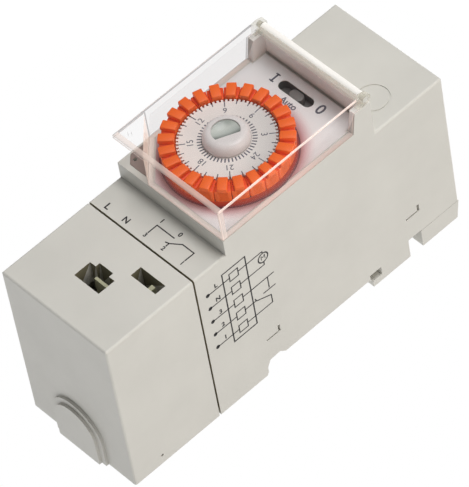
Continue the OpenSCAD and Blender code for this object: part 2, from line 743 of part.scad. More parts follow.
module lower_plate() centred() color("khaki") difference() {
  union() {
    middle_block(lower_x, plate_y, [lower_z, lower_top]);
    for (s = [-1, 1]) {
      y = nose_y + s * (lever_t / 2 + 0.3 + lever_bracket_t / 2);
      across(lever_bracket_t, y) {
        translate([pivot_x - lever_h / 2, lower_top - eps]) square([lever_h, pivot_z - lower_top + eps]);
        translate([pivot_x, pivot_z]) circle(lever_h / 2);
      }
    }
  }
  post(dial_x, 0, lower_z - 1, lower_top + 1, arbor_r + run_gap);
  post(transfer_x, 0, lower_z - 1, lower_top + 1, transfer_r + run_gap);
  post(plunger_x, nose_y, lower_z - 1, lower_top + 1, plunger_r + 0.4);
  cross_pin(pivot_x, pivot_z, lever_pin_r + fit_gap / 5, nose_y - lever_t - 2, nose_y + lever_t + 2);
  for (x = pillar_x, s = [-1, 1]) post(x, s * pillar_y, lower_z - 1, lower_top + 1, screw_r + fit_gap / 5);
  for (s = [-1, 1]) rotate_about_dial(motor_angle * s)
    post(0, s * ear_y, lower_z - 1, lower_top + 1, screw_r + fit_gap / 5);
}

// Turns what is drawn about the dial's axis
module rotate_about_dial(angle) translate([dial_x, 0, 0]) rotate(angle) children();

module plate_pillars() centred() color("goldenrod") for (x = pillar_x, s = [-1, 1]) difference() {
  union() {
    post(x, s * pillar_y, lower_top, upper_z, pillar_r);
    post(x, s * pillar_y, upper_z - eps, deck_h - 1, screw_r);
  }
  post(x, s * pillar_y, lower_top - 1, lower_top + pillar_thread, screw_r + fit_gap / 5);
}

// Screw with a round head, drawn upright with its head's seat at z
module round_screw(x, y, z, length, head_up) {
  post(x, y, head_up ? z - length : z - eps, head_up ? z + eps : z + length, screw_r);
  post(x, y, head_up ? z : z - screw_head_h, head_up ? z + screw_head_h : z, screw_head_r);
}

module movement_screws() centred() color("silver") {
  for (x = pillar_x, s = [-1, 1]) round_screw(x, s * pillar_y, lower_z, plate_t + pillar_thread - 2 * fit_gap, false);
  for (s = [-1, 1]) rotate_about_dial(motor_angle * s)
    round_screw(0, s * ear_y, lower_top, plate_t + motor_cover_t, true);
}

module motor_can() centred() color("darkgray") difference() {
  post(dial_x, 0, motor_z, lower_z - motor_cover_t, motor_r);
  post(dial_x, 0, motor_z + motor_wall, lower_z, motor_r - motor_wall);
}

module motor_cover() centred() color("darkgray") difference() {
  union() {
    post(dial_x, 0, lower_z - motor_cover_t, lower_z, motor_r);
    for (s = [-1, 1]) rotate_about_dial(motor_angle * s)
      post(0, s * ear_y, lower_z - motor_cover_t, lower_z, motor_ear_r);
  }
  post(dial_x, 0, motor_z, lower_z + 1, arbor_r + run_gap);
  for (s = [-1, 1]) rotate_about_dial(motor_angle * s)
    post(0, s * ear_y, motor_z, lower_z + 1, screw_r + fit_gap / 5);
}

module motor_coil() centred() color("peru") difference() {
  post(dial_x, 0, motor_z + motor_wall, lower_z - motor_cover_t - 2, coil_r);
  post(dial_x, 0, motor_z, lower_z, coil_in);
}

module motor_rotor() centred() color("dimgray")
  post(dial_x, 0, motor_z + motor_wall, lower_z - motor_cover_t - 3, rotor_r);

module switch_case() centred() color("dimgray") difference() {
  translate([switch_x, nose_y - switch_size[1] / 2, switch_z]) cube(switch_size);
  post(plunger_x, nose_y, plunger_top - plunger_l - plunger_room, lower_z + 1, plunger_r + run_gap);
}

module switch_plunger() centred() color("firebrick")
  post(plunger_x, nose_y, plunger_top - plunger_l, plunger_top, plunger_r);

module switch_lever() centred() color("ivory") difference() {
  across(lever_t, nose_y) {
    polygon([
      [nose_x - nose_l / 2, lever_z], [pivot_x, lever_z], [pivot_x, lever_z + lever_h],
      [nose_x + nose_l, lever_z + lever_h], [nose_x + nose_l / 2, nose_top], [nose_x - nose_l / 2, nose_top]
    ]);
    translate([pivot_x, pivot_z]) circle(lever_h / 2);
  }
  cross_pin(pivot_x, pivot_z, lever_pin_r + run_gap, nose_y - lever_t, nose_y + lever_t);
}

module lever_pin() centred() color("silver") {
  reach = lever_t / 2 + 0.3 + lever_bracket_t;
  cross_pin(pivot_x, pivot_z, lever_pin_r, nose_y - reach, nose_y + reach);
}

module hinge_pin() centred() color("silver") cross_pin(hinge_x, hinge_z, hinge_pin_r, -half_w, half_w);

module case_screws() centred() color("silver") for (x = post_x, s = [-1, 1]) difference() {
  union() {
    post(x, s * post_y, head_depth - case_head_h, head_depth, case_head_r);
    post(x, s * post_y, head_depth - eps, case_screw_l, screw_r);
  }
  block([x - case_head_r - 1, s * post_y - driver_slot / 2, 0],
        [x + case_head_r + 1, s * post_y + driver_slot / 2, head_depth - case_head_h / 2]);
}

module clip_spring() centred() color("silver") difference() {
  long_pin(pocket_start - spring_seat, 0, spring_z, spring_r, spring_end - pocket_start + spring_seat);
  long_pin(pocket_start - overrun, 0, spring_z, spring_r - spring_wire, spring_end - pocket_start + 2 * overrun);
}

module rail_clip() centred() color("dimgray") difference() {
  union() {
    middle_block([clip_start, clip_shoulder], clip_w / 2, [clip_z, clip_z + clip_t]);
    middle_block([clip_start, clip_end - clip_nose], clip_w / 2 - clip_side, [clip_z, clip_z + clip_t]);
    middle_block([clip_start, clip_end], clip_w / 2 - clip_side, [clip_z, clip_nose_top]);
  }
  long_pin(clip_start - 1, 0, spring_z, spring_bore, spring_end - clip_start + 1);
  middle_block([clip_shoulder, clip_shoulder + clip_slot[0]], clip_slot[1] / 2, [-1, clip_z + 1]);
}

// Direction to the left of the way from p to q
function leftward(p, q) = [p[1] - q[1], q[0] - p[0]] / norm(q - p);

// Outline that runs anticlockwise, moved inwards by a distance
function inset(points, distance) = let (n = len(points)) [for (i = [0:n - 1]) let (
    a = leftward(points[(i + n - 1) % n], points[i]), b = leftward(points[i], points[(i + 1) % n])
  ) points[i] + distance * (a + b) / (1 + a * b)];

// Plan of the cover's walls, which run behind the finger notch
cover_plan = [
  [cover_x, -half_w], [deck_end, -half_w], [deck_end, half_w], [cover_x + finger_notch[0], half_w],
  [cover_x, half_w - finger_notch[1]]
];

// Side view of the cover without its ears
module cover_side() polygon([
  [cover_x, cover_z], [slant_x(cover_z), cover_z], [slant_x(cover_under), cover_under],
  [cover_x_end, cover_under], [cover_x_end, cover_top], [cover_x, cover_top]
]);

// Ear that reaches the hinge pin
module cover_ear() {
  polygon([
    [slant_x(ear_low) - overrun, ear_low], [hinge_x, ear_low], [hinge_x, hinge_z + ear_r],
    [cover_x_end, cover_top], [slant_x(ear_low) - overrun, cover_top]
  ]);
  translate([hinge_x, hinge_z]) circle(ear_r);
}

module clear_cover() centred() color("lightcyan", 0.4) difference() {
  union() {
    intersection() {
      across(body_w) cover_side();
      union() {
        translate([0, 0, cover_z]) linear_extrude(cover_top - cover_z) difference() {
          polygon(cover_plan);
          polygon(inset(cover_plan, cover_t));
        }
        middle_block([cover_x, cover_x_end], half_w, [cover_under, cover_top]);
      }
    }
    for (s = [-1, 1]) across(cover_t, s * (half_w - cover_t / 2)) cover_ear();
  }
  cross_pin(hinge_x, hinge_z, hinge_pin_r + run_gap, -half_w - 1, half_w + 1);
  post(seal_x, seal_y, cover_under - 1, cover_top + 1, seal_r);
}

module override_slider() centred() color("dimgray") {
  block([slot_x - slide_plate_w / 2, slot_y - slide_plate_l / 2 + slider_travel, slide_z],
        [slot_x + slide_plate_w / 2, slot_y + slide_plate_l / 2 - slider_travel, slide_z + slide_plate_t]);
  long_hole(slot_x, slot_y, slot_w - 2 * fit_gap, slider_l, slide_z, deck_h - knob_rise);
  block([slot_x - finger_w / 2, slot_y + finger_y, lever_z + lever_h + slide_gap],
        [slot_x + finger_w / 2, slot_y + finger_y + finger_w, slide_z + eps]);
}

// Angle from the middle of an involute tooth to its flank at radius r
function flank_angle(teeth, m, r) = let (
    pitch_r = teeth * m / 2, base_r = pitch_r * cos(25),
    at_pitch = (PI * m / 2 - 0.06) / pitch_r * 90 / PI,
    tan_p = tan(25), tan_r = sqrt(max(0, pow(r / base_r, 2) - 1))
  ) at_pitch + (tan_p * 180 / PI - 25) - (tan_r * 180 / PI - atan(tan_r));

// Outline of a spur gear with a tooth on the x axis
function gear_outline(teeth, m) = let (
    root_r = m * (teeth / 2 - 1.05), tip_r = m * (teeth / 2 + 0.8),
    start_r = max(root_r, teeth * m / 2 * cos(25)), steps = 3,
    radii = concat([root_r], [for (k = [0:steps]) start_r + (tip_r - start_r) * k / steps])
  ) [for (t = [0:teeth - 1], k = [0:2 * len(radii) - 1]) let (
      up = k < len(radii), r = radii[up ? k : 2 * len(radii) - 1 - k],
      a = 360 * t / teeth + (up ? -1 : 1) * flank_angle(teeth, m, max(r, start_r))
    ) r * [cos(a), sin(a)]];

module gear(x, z, teeth, m, height, turn) translate([x, 0, z]) rotate(turn)
  linear_extrude(height) polygon(gear_outline(teeth, m));

module dial_wheel() centred() color("goldenrod") difference() {
  gear(dial_x, dial_wheel_z, dial_teeth, slow_module, wheel_t, 0);
  post(dial_x, 0, dial_wheel_z - 1, dial_wheel_z + wheel_t + 1, sleeve_r + fit_gap / 5);
}

module transfer_wheel() centred() color("goldenrod") difference() {
  gear(transfer_x, transfer_wheel_z, transfer_teeth, fast_module, wheel_t, 0);
  post(transfer_x, 0, transfer_wheel_z - 1, transfer_wheel_z + wheel_t + 1, transfer_r + fit_gap / 5);
}

module transfer_arbor() centred() color("silver") {
  post(transfer_x, 0, lower_z, upper_top, transfer_r);
  gear(transfer_x, dial_wheel_z - tooth_spare, slow_teeth, slow_module, wheel_t + 2 * tooth_spare,
       180 / slow_teeth);
}

module minute_arbor() centred() color("silver") {
  post(dial_x, 0, lower_z - motor_cover_t - 1, arbor_top, arbor_r);
  gear(dial_x, transfer_wheel_z - tooth_spare, minute_teeth, fast_module, wheel_t + 2 * tooth_spare,
       180 + 180 / minute_teeth);
}

module dial_carrier() centred() color("orangered") difference() {
  translate([dial_x, 0, 0]) rotate_extrude() polygon([
    [arbor_r + run_gap, sleeve_z], [sleeve_r, sleeve_z], [sleeve_r, upper_top + 0.15],
    [collar_r, upper_top + 0.15], [collar_r, plate_z], [plate_r, plate_z], [plate_r, plate_top],
    [disc_r, plate_top], [disc_r, carrier_top], [arbor_r + run_gap, carrier_top]
  ]);
  for (i = [1:tappet_count]) at_tappet(i)
    block([stem_in - fit_gap, -stem_size[1] / 2 - fit_gap, plate_z - 1],
          [stem_in + stem_size[0] + fit_gap, stem_size[1] / 2 + fit_gap, plate_top + 0.3]);
}

module hour_disc() centred() color("white") translate([dial_x, 0, carrier_top])
  linear_extrude(disc_t) difference() {
    circle(disc_r);
    circle(arbor_r + 0.4);
    for (k = [0:notch_count - 1]) rotate(dial_angle + k * 360 / notch_count)
      translate([disc_r - edge_notch[0], -edge_notch[1] / 2]) square([edge_notch[0] + 1, edge_notch[1]]);
  }

// Places a tappet that is drawn with its middle on the x axis
module at_tappet(i) rotate_about_dial(dial_angle + (i - 0.5) * pitch) children();

// Sector between two tappets' gaps
module tappet_sector() {
  tip = tappet_gap / 2 / sin(pitch / 2);
  far = tappet_r + 2;
  polygon([[tip, 0], [far, -(far - tip) * tan(pitch / 2)], [far, (far - tip) * tan(pitch / 2)]]);
}

// Part of a ring that one tappet takes up
module tappet_ring(inner, low, high) translate([0, 0, low]) linear_extrude(high - low) intersection() {
  difference() {
    circle(skirt_out);
    circle(inner);
  }
  tappet_sector();
}
module tappet(i) centred() color("orangered") at_tappet(i) {
  tappet_ring(skirt_in, skirt_z, valley_z);
  tappet_ring(block_in, block_z, valley_z);
  block([block_in, -ridge_w / 2, valley_z - eps], [tappet_r, ridge_w / 2, tappet_top]);
  block([stem_in, -stem_size[1] / 2, stem_z], [stem_in + stem_size[0], stem_size[1] / 2, block_z + eps]);
  block([toe_in, -stem_size[1] / 2, stem_z], [stem_in + stem_size[0], stem_size[1] / 2, stem_z + toe_t]);
}

// Finger dish: a circle with one straight side
module finger_dish(gap, low, high) translate([dial_x, 0, low]) rotate(dish_angle)
  linear_extrude(high - low) intersection() {
    circle(insert_r - gap);
    translate([-insert_r, gap - dish_side]) square(2 * insert_r);
  }

module minute_knob() centred() color("white") difference() {
  translate([dial_x, 0, knob_z]) rotate_extrude() polygon(concat(
    [[0, 0], [knob_r, 0]],
    [for (a = [0:15:90]) [
      knob_top_r + (knob_r - knob_top_r) * cos(a), knob_edge + (knob_h - knob_edge) * sin(a)
    ]],
    [[0, knob_h]]
  ));
  finger_dish(0, insert_z, knob_z + knob_h + 1);
  post(dial_x, 0, knob_z - 1, arbor_top, arbor_r + fit_gap / 5);
}

module knob_insert() centred() color("darkgray") difference() {
  finger_dish(fit_gap / 5, insert_z, knob_z + knob_h);
  translate([dial_x, 0, insert_z + insert_t + bowl_r]) sphere(bowl_r);
}

housing();
base();
terminal_cap();
terminal_block();
wire_clamps();
terminal_screws();
switch_busbars();
motor_busbars();
upper_plate();
lower_plate();
plate_pillars();
movement_screws();
motor_can();
motor_cover();
motor_coil();
motor_rotor();
switch_case();
lever_pin();
hinge_pin();
case_screws();
clip_spring();
rail_clip();
clear_cover();
override_slider();
switch_lever();
switch_plunger();
dial_carrier();
hour_disc();
dial_wheel();
minute_arbor();
minute_knob();
knob_insert();
transfer_arbor();
transfer_wheel();
for (i = [1:tappet_count]) tappet(i);
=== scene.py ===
"""Looks of the rail-mounted time switch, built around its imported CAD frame."""
import json
import math

import bmesh
import bpy
from mathutils import Matrix, Quaternion, Vector

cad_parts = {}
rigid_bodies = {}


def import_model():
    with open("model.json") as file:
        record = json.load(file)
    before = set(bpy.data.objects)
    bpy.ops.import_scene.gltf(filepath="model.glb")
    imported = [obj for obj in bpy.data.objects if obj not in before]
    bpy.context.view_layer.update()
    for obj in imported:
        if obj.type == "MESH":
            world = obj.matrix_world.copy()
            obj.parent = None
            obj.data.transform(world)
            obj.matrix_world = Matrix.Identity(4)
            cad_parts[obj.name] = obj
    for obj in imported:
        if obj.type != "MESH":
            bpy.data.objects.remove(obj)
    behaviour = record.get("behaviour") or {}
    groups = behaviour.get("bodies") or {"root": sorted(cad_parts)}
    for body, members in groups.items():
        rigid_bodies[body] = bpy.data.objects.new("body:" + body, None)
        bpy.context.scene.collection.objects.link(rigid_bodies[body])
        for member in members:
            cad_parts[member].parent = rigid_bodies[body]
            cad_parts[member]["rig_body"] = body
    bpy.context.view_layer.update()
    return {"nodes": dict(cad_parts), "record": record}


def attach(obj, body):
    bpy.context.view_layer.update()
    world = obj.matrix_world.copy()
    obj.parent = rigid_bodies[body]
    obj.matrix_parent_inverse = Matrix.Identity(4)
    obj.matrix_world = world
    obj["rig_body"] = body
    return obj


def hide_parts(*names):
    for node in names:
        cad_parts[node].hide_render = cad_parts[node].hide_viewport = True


# Case and dial, in millimetres, with u measured along the case from the terminal cap's end face
MM = 0.001
X_LEFT = -53.2
SIDE_Y, FAR_SIDE_Y = -18.0, 18.0
SHOULDER_Z = 51.0
DECK_Z = 56.0
LABEL_T = 0.12
DIAL_U = 57.0
DIAL_X = (DIAL_U + X_LEFT) * MM
DIAL_ANGLE = 5.0
DISC_Z = 61.2
VALLEY_Z = 61.4
LABEL_HOLE_R = 14.9
GAP_INNER, GAP_OUTER, GAP_RISE = 14.65, 16.6, 0.02
# Reach of the painted orange reflection and shade on the deck around the dial
ORANGE_REFLECTION_R = 20.0
TAPPETS = ["tappet_%02d" % i for i in range(1, 25)]

# Clear cover: where its looks and its rounding change
COVER_MIDDLE = Vector((60 + X_LEFT, 0, 61))
COVER_TOP_Z = 66.0
SHORT_EDGE, TALL_EDGE = 2.0, 4.0
TOP_WEIGHT, CORNER_WEIGHT, FOOT_WEIGHT = 1.0, 0.8, 0.3
FRONT_U, EAR_U, FAR_Y, FOOT_Z = 39.3, 82.2, 17.2, 57.0
SEAL_U, SEAL_Y, SEAL_R, SEAL_RIM = 41.1, 15.4, 0.5, 1.2

# Rounding of edges: width in millimetres and number of segments
TAPPET_ROUND, COVER_ROUND = (0.22, 3), (0.42, 3)
SLIDER_ROUND, CLIP_ROUND, INSERT_ROUND = (0.25, 2), (0.2, 2), (0.08, 2)
ROUNDED_ANGLE, SHARP_ANGLE, FLAT_ANGLE = math.radians(35), math.radians(40), math.radians(1)
WELD, SHORTEST = 0.001 * MM, 0.002 * MM

# Parts of a face's normal from which on it counts as level, as facing a way, as leaning or as slanted
LEVEL, FACING, LEANING, SLANTED = 0.9, 0.5, 0.3, 0.1

# Printing: where ink starts and ends above its surface, and widths of lines and letters
PRINT_LOW, PRINT_HIGH = -0.01, 0.02
THIN, BOLD = 0.32, 0.38
STRIP_WEIGHT, ROW_WEIGHT = 0.06, 0.07
CAPITAL_SHARE = 0.72

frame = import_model()
NODES = frame["nodes"]


def srgb(r, g, b):
    """Linear colour of a screen colour given in 0 to 255."""
    def linear(c):
        c /= 255
        return c / 12.92 if c <= 0.04045 else ((c + 0.055) / 1.055) ** 2.4
    return (linear(r), linear(g), linear(b), 1.0)


def scaled(colour, k):
    """Lighter or darker colour."""
    return tuple(min(1.0, c * k) for c in colour[:3]) + (1.0,)


# Materials, with scales of noise in features per metre

CLOUD_SCALE, GLOSS_SCALE, GRAIN_SCALE, GRAIN_DEPTH = 55.0, 320.0, 2600.0, 0.00002
METAL_CLOUD_SCALE, METAL_GLOSS_SCALE, METAL_GRAIN_SCALE, METAL_GRAIN_DEPTH = 140.0, 900.0, 1800.0, 0.00001
CLEAR_CLOUD_SCALE, CLEAR_IOR, CLEAR_FACING = 90.0, 1.49, 0.44


def new_material(name):
    """Material with a Principled shader, its node tree and that shader."""
    mat = bpy.data.materials.new(name)
    mat.use_nodes = True
    tree = mat.node_tree
    tree.nodes.clear()
    shader = tree.nodes.new("ShaderNodeBsdfPrincipled")
    output = tree.nodes.new("ShaderNodeOutputMaterial")
    tree.links.new(shader.outputs["BSDF"], output.inputs["Surface"])
    return mat, tree, shader


def principled(mat):
    """A material's Principled shader."""
    return next(n for n in mat.node_tree.nodes if n.type == "BSDF_PRINCIPLED")


def noise(tree, scale, detail):
    """Noise in object space."""
    coord = tree.nodes.new("ShaderNodeTexCoord")
    node = tree.nodes.new("ShaderNodeTexNoise")
    node.inputs["Scale"].default_value = scale
    node.inputs["Detail"].default_value = detail
    node.inputs["Roughness"].default_value = 0.55
    tree.links.new(coord.outputs["Object"], node.inputs["Vector"])
    return node.outputs["Fac"]


def distance(tree, centre=(0, 0, 0)):
    """Distance from a point of the object's own space."""
    coord = tree.nodes.new("ShaderNodeTexCoord")
    length = tree.nodes.new("ShaderNodeVectorMath")
    length.operation = "DISTANCE"
    length.inputs[1].default_value = centre
    tree.links.new(coord.outputs["Object"], length.inputs[0])
    return length.outputs["Value"]


def along(tree, centre, direction):
    """Distance from a point of the object's own space, measured along a direction."""
    coord = tree.nodes.new("ShaderNodeTexCoord")
    offset = tree.nodes.new("ShaderNodeVectorMath")
    offset.operation = "SUBTRACT"
    offset.inputs[1].default_value = centre
    part = tree.nodes.new("ShaderNodeVectorMath")
    part.operation = "DOT_PRODUCT"
    part.inputs[1].default_value = direction
    tree.links.new(coord.outputs["Object"], offset.inputs[0])
    tree.links.new(offset.outputs["Vector"], part.inputs[0])
    return part.outputs["Value"]


def mapped(tree, source, low, high, to_low=0.0, to_high=1.0):
    """Value moved from one range to another, and held at its ends."""
    node = tree.nodes.new("ShaderNodeMapRange")
    node.inputs["From Min"].default_value = low
    node.inputs["From Max"].default_value = high
    node.inputs["To Min"].default_value = to_low
    node.inputs["To Max"].default_value = to_high
    tree.links.new(source, node.inputs["Value"])
    return node.outputs["Result"]


def ramp(tree, source, stops):
    """Colour ramp from a list of (position, colour)."""
    node = tree.nodes.new("ShaderNodeValToRGB")
    elements = node.color_ramp.elements
    elements[0].position, elements[0].color = stops[0]
    elements[1].position, elements[1].color = stops[-1]
    for position, colour in stops[1:-1]:
        elements.new(position).color = colour
    tree.links.new(source, node.inputs["Fac"])
    return node.outputs["Color"]


def add_cloud(tree, shader, scale, detail, dark, light):
    """Colour that drifts between two shades."""
    tint = ramp(tree, noise(tree, scale, detail), [(0.3, dark), (0.7, light)])
    tree.links.new(tint, shader.inputs["Base Color"])


def add_gloss(tree, shader, scale, detail, rough):
    """Roughness that drifts between two values."""
    level = mapped(tree, noise(tree, scale, detail), 0.0, 1.0, *rough)
    tree.links.new(level, shader.inputs["Roughness"])


def add_bump(tree, shader, scale, strength, depth):
    """Fine grain of the surface."""
    bump = tree.nodes.new("ShaderNodeBump")
    bump.inputs["Strength"].default_value = strength
    bump.inputs["Distance"].default_value = depth
    tree.links.new(noise(tree, scale, 2.0), bump.inputs["Height"])
    tree.links.new(bump.outputs["Normal"], shader.inputs["Normal"])


def plastic(name, colour, rough=(0.38, 0.52), vary=0.035, grain=0.25):
    """Moulded plastic: cloudy colour, uneven gloss and a fine grain."""
    mat, tree, shader = new_material(name)
    add_cloud(tree, shader, CLOUD_SCALE, 4.0, scaled(colour, 1 - vary), scaled(colour, 1 + vary))
    add_gloss(tree, shader, GLOSS_SCALE, 3.0, rough)
    shader.inputs["Specular IOR Level"].default_value = 0.4
    add_bump(tree, shader, GRAIN_SCALE, grain, GRAIN_DEPTH)
    return mat


def metal(name, colour, rough=(0.25, 0.42)):
    """Metal with fine uneven polish."""
    mat, tree, shader = new_material(name)
    shader.inputs["Metallic"].default_value = 1.0
    add_cloud(tree, shader, METAL_CLOUD_SCALE, 4.0, scaled(colour, 0.86), scaled(colour, 1.06))
    add_gloss(tree, shader, METAL_GLOSS_SCALE, 4.0, rough)
    add_bump(tree, shader, METAL_GRAIN_SCALE, 0.15, METAL_GRAIN_DEPTH)
    return mat


def clear_plastic(name, facing, grazing, colour, rough, glow=0.0):
    """Clear moulding that shows more of itself at a flat angle, and can be given a painted glow."""
    mat, tree, shader = new_material(name)
    add_cloud(tree, shader, CLEAR_CLOUD_SCALE, 3.0, scaled(colour, 0.97), colour)
    shader.inputs["Roughness"].default_value = rough
    shader.inputs["IOR"].default_value = CLEAR_IOR
    shader.inputs["Specular IOR Level"].default_value = 0.6
    shader.inputs["Emission Color"].default_value = colour
    shader.inputs["Emission Strength"].default_value = glow
    weight = tree.nodes.new("ShaderNodeLayerWeight")
    alpha = mapped(tree, weight.outputs["Facing"], CLEAR_FACING, 1.0, facing, grazing)
    tree.links.new(alpha, shader.inputs["Alpha"])
    return mat


def gap_material(name, stops, glow):
    """Painted shade and a painted glow in the dial gap, standing in for orange light from the tappets, with
    its colours from the dial outwards.
    """
    mat, tree, shader = new_material(name)
    from_axis = distance(tree, (DIAL_X, 0, DECK_Z * MM))
    tint = ramp(tree, mapped(tree, from_axis, GAP_INNER * MM, GAP_OUTER * MM), stops)
    tree.links.new(tint, shader.inputs["Base Color"])
    tree.links.new(tint, shader.inputs["Emission Color"])
    shader.inputs["Emission Strength"].default_value = glow
    shader.inputs["Roughness"].default_value = 0.5
    add_bump(tree, shader, GRAIN_SCALE, 0.2, GRAIN_DEPTH)
    return mat


def tinted(mat, source, stops):
    """Multiplies a plastic's colour by a colour ramp."""
    tree = mat.node_tree
    colour = principled(mat).inputs["Base Color"]
    mix = tree.nodes.new("ShaderNodeMix")
    mix.data_type = "RGBA"
    mix.blend_type = "MULTIPLY"
    mix.inputs["Factor"].default_value = 1.0
    tree.links.new(colour.links[0].from_socket, mix.inputs["A"])
    tree.links.new(ramp(tree, source(tree), stops), mix.inputs["B"])
    tree.links.new(mix.outputs["Result"], colour)


def lit_above(mat, colour, low, high, strength):
    """Gives a pale plastic a painted glow, more of it the higher up."""
    tree, shader = mat.node_tree, principled(mat)
    shader.inputs["Emission Color"].default_value = colour
    height = along(tree, (0, 0, low * MM), (0, 0, 1))
    glow = mapped(tree, height, 0, (high - low) * MM, 0.0, strength)
    tree.links.new(glow, shader.inputs["Emission Strength"])


BODY = plastic("body_plastic", srgb(207, 205, 198))
# Painted light: the hinge wall and its cheeks stand in shade, so they get a lighter plastic than the body
WALL_PAINTED_LIGHT = plastic("hinge_wall", srgb(244, 240, 234))
ORANGE = plastic("orange_plastic", srgb(255, 107, 32), rough=(0.34, 0.5), vary=0.06, grain=0.15)
WHITE = plastic("white_plastic", srgb(230, 224, 222), rough=(0.22, 0.34), vary=0.02, grain=0.1)
DISC = plastic("hour_disc", srgb(246, 236, 230), rough=(0.3, 0.42), vary=0.02, grain=0.1)
LABEL = plastic("deck_label", srgb(228, 227, 227), rough=(0.3, 0.4), vary=0.02, grain=0.1)
DARK = plastic("dark_plastic", srgb(52, 53, 54), rough=(0.4, 0.55), vary=0.08)
# Painted shade: dark grey for the walls of the slider's slot in the housing
SLOT_SHADE = plastic("slot_painted_shade", srgb(82, 90, 89), rough=(0.4, 0.55), vary=0.06)
SLIDER = plastic("slider_plastic", srgb(118, 116, 114), rough=(0.35, 0.5), vary=0.06)
SEAM = plastic("seam_shade", srgb(150, 142, 118), rough=(0.5, 0.65), vary=0.06)
# Painted shade: a deeper orange for the valleys between the tappets' ridges
ORANGE_VALLEY_SHADE = plastic("orange_valley_shade", srgb(222, 70, 8), rough=(0.4, 0.55), vary=0.06)
GREY_WITH_DISH_SHADE = plastic("grey_plastic", srgb(205, 208, 204), rough=(0.2, 0.3), vary=0.04)
PALE = plastic("pale_plastic", srgb(166, 165, 138), vary=0.05)
RED = plastic("red_plastic", srgb(150, 34, 26), vary=0.06)
INK = plastic("print_ink", srgb(38, 36, 38), rough=(0.5, 0.65), vary=0.12, grain=0.1)
GREY_INK = plastic("grey_ink", srgb(92, 92, 104), rough=(0.5, 0.65), vary=0.12, grain=0.1)
SHADE = plastic("shaded_recess", srgb(124, 119, 98), rough=(0.5, 0.65), vary=0.06)
# Painted shade: a sheet on the deck under the cover's overhanging corner
NOTCH_SHADE = plastic("notch_shade_sheet", srgb(140, 124, 118), rough=(0.4, 0.55), vary=0.04)
BRASS = metal("brass", srgb(205, 170, 100))
STEEL = metal("steel", srgb(188, 188, 192))
COPPER = metal("copper", srgb(190, 116, 70), rough=(0.3, 0.5))
# Copies of one clear plastic, most with painted light: painted highlights and glow on the edges, the front
# edge and the corner, a lighter lit copy for the walls, painted shade on the far wall and the far edges,
# and painted glow on the foot
CLEAR = clear_plastic("clear_plastic", 0.04, 0.4, srgb(130, 116, 114), 0.06)
CLEAR_EDGE_HIGHLIGHT = clear_plastic("clear_plastic_edge_highlight", 0.75, 0.92, srgb(250, 228, 217), 0.15, 0.05)
CLEAR_WALL_LIT = clear_plastic("clear_plastic_wall_lit", 0.03, 0.32, srgb(196, 180, 177), 0.08)
CLEAR_FAR_SHADED = clear_plastic("clear_plastic_far_shaded", 0.1, 0.3, srgb(150, 126, 122), 0.08)
FRONT_EDGE_HIGHLIGHT = clear_plastic("clear_plastic_front_edge_highlight", 0.55, 0.8, srgb(244, 224, 213), 0.15)
FAR_EDGE_SHADE = clear_plastic("clear_plastic_far_edge_shade", 0.5, 0.75, srgb(106, 100, 104), 0.15)
CORNER_HIGHLIGHT = clear_plastic("clear_plastic_corner_highlight", 0.05, 0.98, srgb(244, 226, 211), 0.12, 0.3)
EAR = clear_plastic("clear_plastic_ear", 0.3, 0.55, srgb(222, 218, 202), 0.12)
FOOT_PAINTED_LIGHT = clear_plastic("clear_plastic_foot_painted_light", 0.6, 0.62, srgb(248, 234, 226), 0.15, 0.25)
COVER_LOOKS = [CLEAR, CLEAR_EDGE_HIGHLIGHT, CLEAR_WALL_LIT, CLEAR_FAR_SHADED, FRONT_EDGE_HIGHLIGHT, FAR_EDGE_SHADE, CORNER_HIGHLIGHT, EAR, FOOT_PAINTED_LIGHT]
# Painted shade that darkens outwards across the dial's gap
GAP_SHADE_STOPS = [(0.0, srgb(180, 66, 34)), (0.5, srgb(148, 46, 28)), (0.8, srgb(100, 36, 38)),
             (1.0, srgb(62, 32, 42))]
GAP_SHADE_AND_GLOW = gap_material("dial_gap_shade_and_glow", GAP_SHADE_STOPS, 0.6)

# Painted shade, painted highlights, a painted reflection and a painted glow that lie across a whole piece
DISH_TURN = math.radians(-25)
DISH_ACROSS, DISH_FROM, DISH_TO = (-math.sin(DISH_TURN), math.cos(DISH_TURN), 0), -1.7, 3.4
DISH_SHADE_STOPS = [(0.0, srgb(132, 137, 133)), (0.14, srgb(168, 173, 169)), (0.34, srgb(236, 239, 236)),
              (0.6, srgb(250, 252, 249)), (0.85, srgb(205, 209, 205)), (1.0, srgb(172, 177, 173))]
DISC_ACROSS, DISC_R = (0.726, -0.688, 0), 11.5
DISC_SHADE_STOPS = [(0.0, (1, 1, 1, 1)), (0.55, (0.9, 0.92, 0.93, 1)), (1.0, (0.7, 0.75, 0.77, 1))]
ORANGE_REFLECTION_STOPS = [(0.0, (0.5, 0.22, 0.22, 1)), (0.3, (0.74, 0.51, 0.53, 1)), (0.7, (0.93, 0.85, 0.86, 1)),
               (1.0, (1, 1, 1, 1))]
GLOW_COLOUR, GLOW_LOW_Z, GLOW_HIGH_Z, GLOW_STRENGTH = srgb(234, 240, 244), 55.0, 65.0, 0.1


def across_dish(tree):
    """How far a point of the finger dish lies from the dish's straight side."""
    return mapped(tree, along(tree, (DIAL_X, 0, 0), DISH_ACROSS), DISH_FROM * MM, DISH_TO * MM)


def across_disc(tree):
    """How far a point of the hour disc lies towards its side with painted shade."""
    return mapped(tree, along(tree, (DIAL_X, 0, 0), DISC_ACROSS), -DISC_R * MM, DISC_R * MM)


def from_dial(tree):
    """How far a point of the deck lies from the dial's rim."""
    return mapped(tree, distance(tree, (DIAL_X, 0, 0)), GAP_OUTER * MM, ORANGE_REFLECTION_R * MM)


# Painted shade and a painted highlight in the knob's finger dish
tinted(GREY_WITH_DISH_SHADE, across_dish, DISH_SHADE_STOPS)
# Painted shade, darker towards one side of the hour disc
tinted(DISC, across_disc, DISC_SHADE_STOPS)
